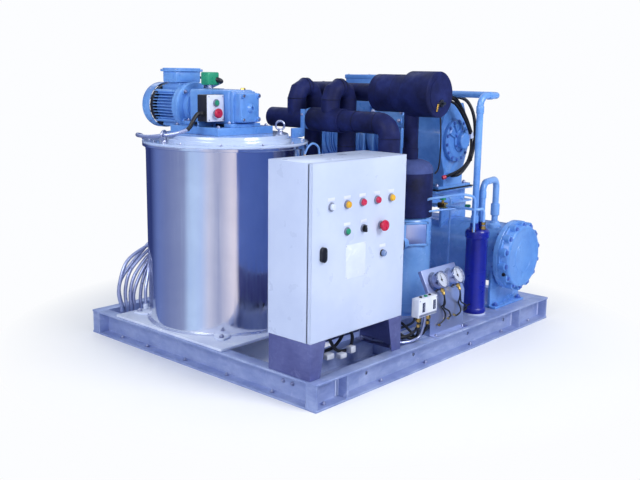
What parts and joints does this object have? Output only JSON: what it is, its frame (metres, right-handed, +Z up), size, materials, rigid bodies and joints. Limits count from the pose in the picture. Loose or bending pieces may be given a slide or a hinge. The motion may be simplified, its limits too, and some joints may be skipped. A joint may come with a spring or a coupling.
{
  "type": "slurry ice machine",
  "caption": "Skid-mounted slurry ice machine: scraped ice drum with gearmotor, piston compressor, shell condenser, insulated suction line and a hinged electrical cabinet.",
  "frame": {"origin": "on the floor under the middle of the skid", "axes": "+X along the skid from the ice drum to the compressor, +Y from the cabinet's door to the back, +Z up"},
  "size_m": [1.6, 1.3, 1.123],
  "materials": {
    "galvanised": "hot-dip galvanised channel",
    "light_blue_paint": "satin paint",
    "drive_blue_paint": "satin paint",
    "royal_blue_paint": "gloss paint",
    "cabinet_paint": "fine textured powder coat",
    "plinth_steel": "folded galvanised sheet",
    "pale_paint": "gloss paint",
    "stainless": "polished stainless sheet",
    "insulation": "closed-cell foam rubber",
    "black_plastic": "black",
    "white_plastic": "off-white",
    "green_plastic": "green",
    "red_plastic": "red",
    "grey_plastic": "grey"
  },
  "bodies": {
    "machine": {"accumulator_jacket": "insulation", "accumulator_shell": "light_blue_paint", "cabinet_body": "cabinet_paint", "compressor_body": "light_blue_paint", "compressor_cable": "black_plastic", "compressor_end_cover": "light_blue_paint", "compressor_stand": "light_blue_paint", "compressor_terminal_box": "light_blue_paint", "condenser_shell": "light_blue_paint", "control_cable": "black_plastic", "discharge_pipe": "light_blue_paint", "drum_base_plate": "pale_paint", "drum_jacket": "stainless", "drum_lid": "pale_paint", "drum_liner": "stainless", "fan_cowl": "drive_blue_paint", "front_end_cap": "light_blue_paint", "front_rail": "galvanised", "gauge_bracket": "stainless", "gear_base": "drive_blue_paint", "gear_housing": "drive_blue_paint", "header_bracket": "drive_blue_paint", "high_gauge": "stainless", "hot_gas_pipe": "light_blue_paint", "left_cylinder_head": "light_blue_paint", "left_member": "galvanised", "left_plinth": "plinth_steel", "left_rail": "galvanised", "local_box": "white_plastic", "low_gauge": "stainless", "middle_member": "galvanised", "motor_body": "drive_blue_paint", "motor_terminal_box": "drive_blue_paint", "mounting_plate": "galvanised", "oil_return_pipe": "light_blue_paint", "oil_separator": "royal_blue_paint", "pressure_switch": "white_plastic", "rear_end_cap": "light_blue_paint", "rear_rail": "galvanised", "right_cylinder_head": "light_blue_paint", "right_frame": "galvanised", "right_plinth": "plinth_steel", "right_rail": "galvanised", "sensor_box": "green_plastic", "suction_filter": "insulation", "suction_line": "insulation", "suction_pipe": "insulation", "supply_cable": "black_plastic"},
    "door": {"cabinet_door": "cabinet_paint"},
    "lock": {"door_lock": "black_plastic"},
    "green_button": {"green_button": "green_plastic"},
    "selector": {"selector_switch": "black_plastic"},
    "emergency_stop": {"emergency_stop": "red_plastic"},
    "dial_knob": {"dial_knob": "grey_plastic"},
    "local_start": {"local_start_button": "green_plastic"},
    "local_stop": {"local_stop_button": "red_plastic"},
    "scraper": {"scraper_shaft": "stainless"},
    "fan": {"motor_fan": "black_plastic"},
    "low_needle": {"low_needle": "black_plastic"},
    "high_needle": {"high_needle": "black_plastic"}
  },
  "joints": [
    {"name": "door_hinge", "type": "hinge", "parent": "machine", "child": "door", "pos_m": [-0.2882, -0.595, 0.2296], "axis": [0, 0, 1], "range_deg": [0, 110]},
    {"name": "lock_turn", "type": "hinge", "parent": "door", "child": "lock", "pos_m": [-0.741, -0.615, 0.5266], "axis": [0, 1, 0], "range_deg": [0, 90]},
    {"name": "green_button_press", "type": "slide", "parent": "door", "child": "green_button", "axis": [0, 1, 0], "range_m": [0, 0.0035], "stiffness_N_per_m": 300},
    {"name": "emergency_stop_press", "type": "slide", "parent": "door", "child": "emergency_stop", "axis": [0, 1, 0], "range_m": [0, 0.0035], "stiffness_N_per_m": 300},
    {"name": "selector_turn", "type": "hinge", "parent": "door", "child": "selector", "pos_m": [-0.532, -0.615, 0.5896], "axis": [0, 1, 0], "range_deg": [-45, 45]},
    {"name": "dial_turn", "type": "hinge", "parent": "door", "child": "dial_knob", "pos_m": [-0.422, -0.615, 0.4866], "axis": [0, 1, 0], "range_deg": [-135, 135]},
    {"name": "local_start_press", "type": "slide", "parent": "machine", "child": "local_start", "axis": [0, 1, 0], "range_m": [0, 0.0035], "stiffness_N_per_m": 300},
    {"name": "local_stop_press", "type": "slide", "parent": "machine", "child": "local_stop", "axis": [0, 1, 0], "range_m": [0, 0.0035], "stiffness_N_per_m": 300},
    {"name": "scraper_turn", "type": "hinge", "parent": "machine", "child": "scraper", "pos_m": [-0.454, 0.176, 0.1606], "axis": [0, 0, 1], "continuous": true},
    {"name": "fan_spin", "type": "hinge", "parent": "machine", "child": "fan", "pos_m": [-0.454, 0.5533, 0.9657], "axis": [0, 1, 0], "continuous": true},
    {"name": "low_needle_turn", "type": "hinge", "parent": "machine", "child": "low_needle", "pos_m": [-0.0335, -0.61485, 0.32114], "axis": [0, -0.8829, 0.4695], "range_deg": [-135, 135]},
    {"name": "high_needle_turn", "type": "hinge", "parent": "machine", "child": "high_needle", "pos_m": [0.0785, -0.61485, 0.32114], "axis": [0, -0.8829, 0.4695], "range_deg": [-135, 135]}
  ],
  "couplings": [
    {"joint": "fan_spin", "follows": "scraper_turn", "ratio": 20}
  ]
}
